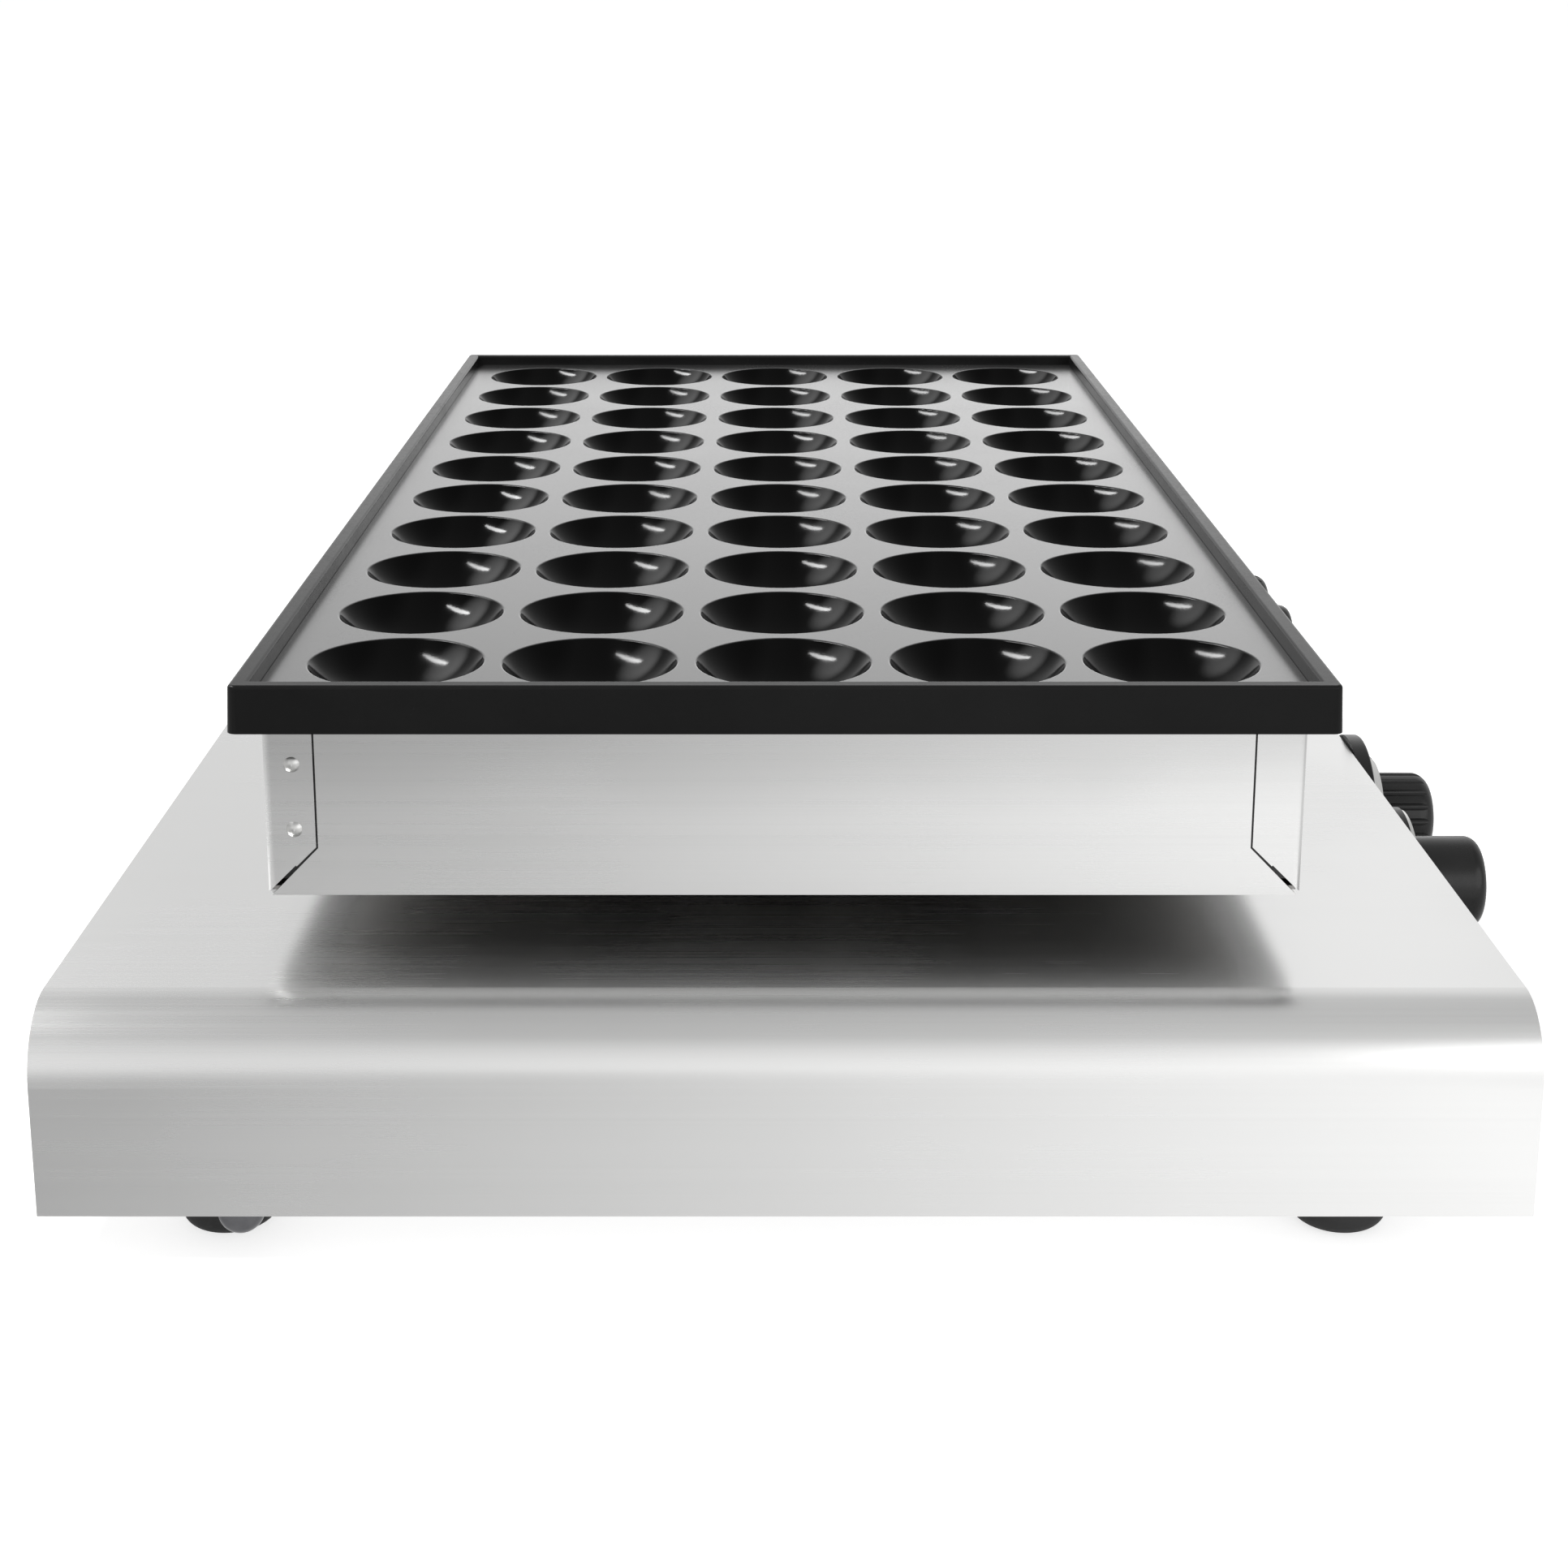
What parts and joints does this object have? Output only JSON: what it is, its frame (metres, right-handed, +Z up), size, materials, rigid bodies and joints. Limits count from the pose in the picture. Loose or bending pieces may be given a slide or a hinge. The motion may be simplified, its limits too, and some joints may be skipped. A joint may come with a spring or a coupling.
{
  "type": "poffertjes maker",
  "caption": "Countertop electric mini pancake cooker: cast non-stick plate of round cups on a steel heater box, above a wide bent-steel base with timer and thermostat knobs.",
  "frame": {"origin": "on the worktop, at the middle of the base, between the four feet", "axes": "+X along the plate to the cook's right, the control panel faces -Y, +Z up"},
  "size_m": [0.585, 0.398, 0.134],
  "materials": {
    "nonstick_cast": "black non-stick coating on cast aluminium",
    "brushed_stainless": "brushed stainless sheet",
    "element_sheath": "annealed sheath, dull",
    "zinc_plate": "bright zinc plating",
    "blackened_steel": "black oxide",
    "foot_rubber": "matt moulded rubber",
    "polished_dome": "polished",
    "knob_black": "moulded phenolic, half gloss",
    "knob_trim": "satin",
    "control_case": "moulded case",
    "lamp_amber": "clear tinted lens",
    "black_moulding": "moulded nylon"
  },
  "bodies": {
    "cooker": {"baking_plate": "nonstick_cast", "box_side_front": "brushed_stainless", "box_side_rear": "brushed_stainless", "base_cover": "brushed_stainless", "front_panel": "brushed_stainless", "rear_panel": "brushed_stainless", "bottom_plate": "brushed_stainless", "box_floor": "brushed_stainless", "box_end_left": "brushed_stainless", "box_end_right": "brushed_stainless", "element_left": "element_sheath", "element_right": "element_sheath", "sensor_left": "element_sheath", "sensor_right": "element_sheath", "clamp_bar_left": "zinc_plate", "clamp_bar_right": "zinc_plate", "corner_bracket_front_left": "zinc_plate", "corner_bracket_front_right": "zinc_plate", "corner_bracket_rear_left": "zinc_plate", "corner_bracket_rear_right": "zinc_plate", "corner_rivets": "zinc_plate", "tie_rods": "zinc_plate", "tie_rod_nuts": "zinc_plate", "foot_screws": "zinc_plate", "dome_bolt_nut": "zinc_plate", "bush_nuts": "zinc_plate", "standoff_front_left": "blackened_steel", "standoff_front_right": "blackened_steel", "standoff_rear_left": "blackened_steel", "standoff_rear_right": "blackened_steel", "wire_sleeve_left": "blackened_steel", "wire_sleeve_right": "blackened_steel", "foot_front_left": "foot_rubber", "foot_front_right": "foot_rubber", "foot_rear_left": "foot_rubber", "foot_rear_right": "foot_rubber", "dome_bolt": "polished_dome", "timer_left": "control_case", "timer_right": "control_case", "thermostat_left": "control_case", "thermostat_right": "control_case", "lamp_lens_left": "lamp_amber", "lamp_lens_right": "lamp_amber", "lamp_body_left": "black_moulding", "lamp_body_right": "black_moulding", "cord_gland": "black_moulding", "gland_nut": "black_moulding"},
    "timer_left_dial": {"timer_knob_left": "knob_black", "timer_ring_left": "knob_trim", "timer_shaft_left": "zinc_plate"},
    "thermostat_left_dial": {"thermostat_knob_left": "knob_black", "thermostat_ring_left": "knob_trim", "thermostat_shaft_left": "zinc_plate"},
    "timer_right_dial": {"timer_knob_right": "knob_black", "timer_ring_right": "knob_trim", "timer_shaft_right": "zinc_plate"},
    "thermostat_right_dial": {"thermostat_knob_right": "knob_black", "thermostat_ring_right": "knob_trim", "thermostat_shaft_right": "zinc_plate"}
  },
  "joints": [
    {"name": "timer_left_turn", "type": "hinge", "parent": "cooker", "child": "timer_left_dial", "pos_m": [-0.1425, -0.178, 0.0395], "axis": [0, 1, 0], "range_deg": [0, 300]},
    {"name": "thermostat_left_turn", "type": "hinge", "parent": "cooker", "child": "thermostat_left_dial", "pos_m": [-0.0835, -0.178, 0.0395], "axis": [0, 1, 0], "range_deg": [0, 270]},
    {"name": "timer_right_turn", "type": "hinge", "parent": "cooker", "child": "timer_right_dial", "pos_m": [0.1275, -0.178, 0.0395], "axis": [0, 1, 0], "range_deg": [0, 300]},
    {"name": "thermostat_right_turn", "type": "hinge", "parent": "cooker", "child": "thermostat_right_dial", "pos_m": [0.177, -0.178, 0.0395], "axis": [0, 1, 0], "range_deg": [0, 270]}
  ]
}
